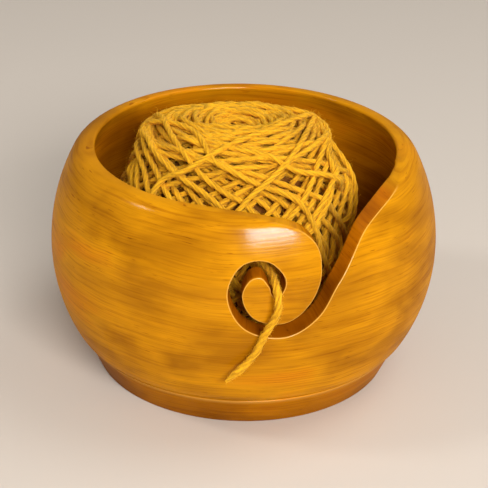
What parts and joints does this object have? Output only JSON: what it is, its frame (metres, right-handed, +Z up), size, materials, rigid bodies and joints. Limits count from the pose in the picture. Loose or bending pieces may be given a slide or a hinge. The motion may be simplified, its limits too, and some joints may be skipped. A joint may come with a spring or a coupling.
{
  "type": "yarn bowl",
  "caption": "Turned wooden yarn bowl with a spiral yarn slot in its front wall, holding a wound ball of yarn whose free end hangs out through the slot.",
  "frame": {"origin": "centre of the foot's ring on the table, on the bowl's turning axis", "axes": "+Z up along the turning axis; -Y towards the front, where the eye of the yarn slot is; +X towards the slot's wide mouth"},
  "size_m": [0.15, 0.1546, 0.098],
  "materials": {
    "wood": "clear gloss varnish over golden orange turned wood",
    "yarn": "soft plied mustard yarn with a short fuzz",
    "yarn_inside": "shaded inner turns of the same yarn"
  },
  "bodies": {
    "bowl": {"bowl": "wood", "yarn_tail": "yarn"},
    "yarn_ball": {"yarn_core": "yarn_inside", "yarn_winding": "yarn"}
  },
  "joints": [
    {"name": "ball_turn", "type": "hinge", "parent": "bowl", "child": "yarn_ball", "pos_m": [-0.003, 0, 0.0566], "axis": [0, 0, 1], "continuous": true}
  ]
}
